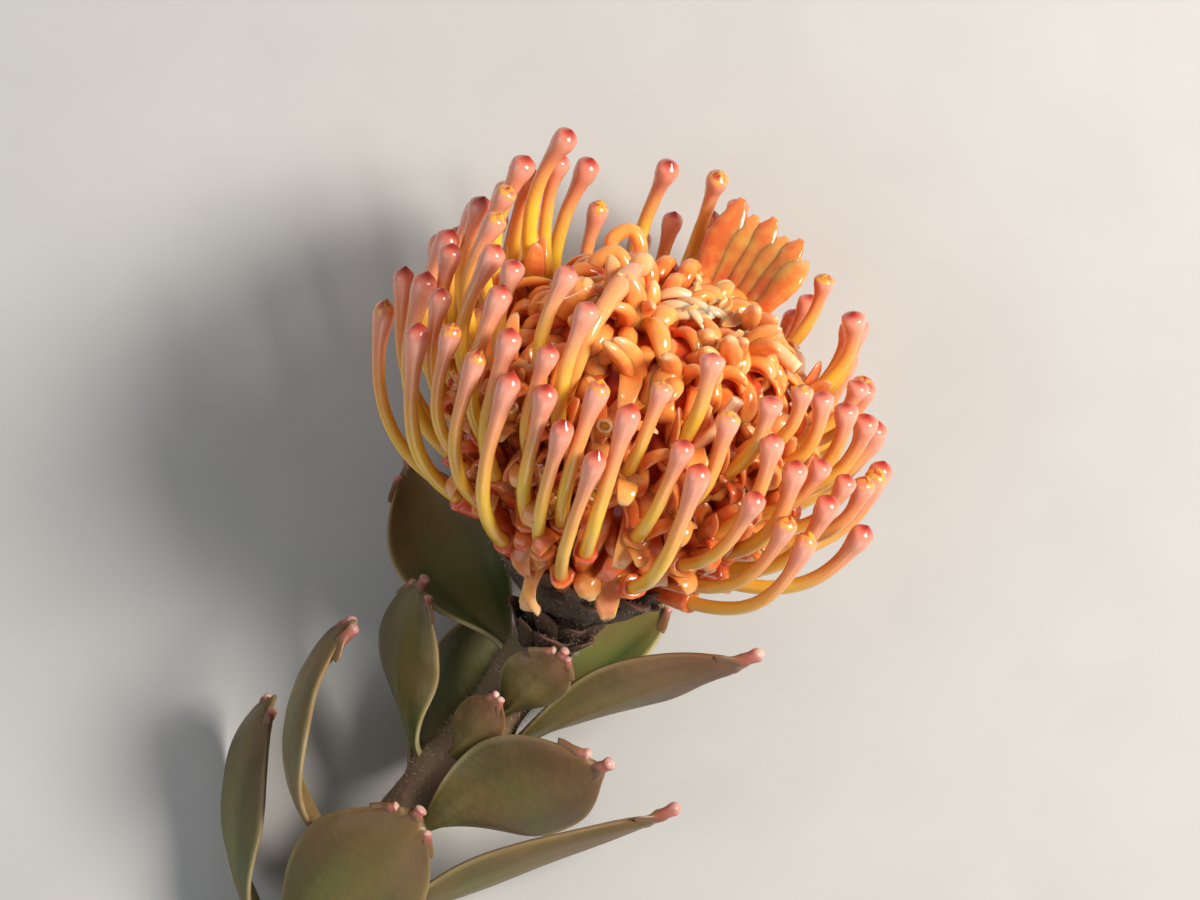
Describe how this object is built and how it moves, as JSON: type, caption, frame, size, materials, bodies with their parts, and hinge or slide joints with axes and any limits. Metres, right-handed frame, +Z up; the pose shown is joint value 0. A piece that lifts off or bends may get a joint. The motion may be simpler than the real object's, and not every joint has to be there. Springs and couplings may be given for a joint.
{
  "type": "pincushion protea flower",
  "caption": "Cut pincushion protea flower lying on its side, with a domed head of looped florets, a cage of curved styles with swollen tips, a leafy stem and a cut end.",
  "frame": {"origin": "centre of the bounding box's base, on the surface the flower lies on", "axes": "+Z up from that surface, +Y along the flower from the cut end of the stem to the crown of the head, +X to the right seen from above with the head at the top"},
  "size_m": [0.0726, 0.148, 0.0643],
  "materials": {
    "perianth": "moist waxy peach-orange floret tubes and loops, salmon red in the hollows",
    "style": "smooth waxy, yellow at the foot through orange to a salmon club with a red nib",
    "bract": "brown, downy, overlapping scales",
    "stem": "brownish pink-grey bark with fine down",
    "leaf": "olive green with a paler margin, brown shading and pink-red teeth"
  },
  "bodies": {
    "root": {"floret_mound": "perianth", "style_01": "style", "style_02": "style", "style_03": "style", "style_04": "style", "style_05": "style", "style_06": "style", "style_07": "style", "style_08": "style", "style_09": "style", "style_10": "style", "style_11": "style", "style_12": "style", "style_13": "style", "style_14": "style", "style_15": "style", "style_16": "style", "style_17": "style", "style_18": "style", "style_19": "style", "style_20": "style", "style_21": "style", "style_22": "style", "style_23": "style", "style_24": "style", "style_25": "style", "style_26": "style", "style_27": "style", "style_28": "style", "style_29": "style", "style_30": "style", "style_31": "style", "style_32": "style", "style_33": "style", "style_34": "style", "style_35": "style", "style_36": "style", "style_37": "style", "style_38": "style", "style_39": "style", "style_40": "style", "style_41": "style", "style_42": "style", "style_43": "style", "bract_cup": "bract", "stem": "stem", "leaf_01": "leaf", "leaf_02": "leaf", "leaf_03": "leaf", "leaf_04": "leaf", "leaf_05": "leaf", "leaf_06": "leaf", "leaf_07": "leaf", "leaf_08": "leaf", "leaf_09": "leaf", "leaf_10": "leaf", "leaf_11": "leaf", "leaf_12": "leaf", "leaf_13": "leaf"}
  },
  "joints": []
}
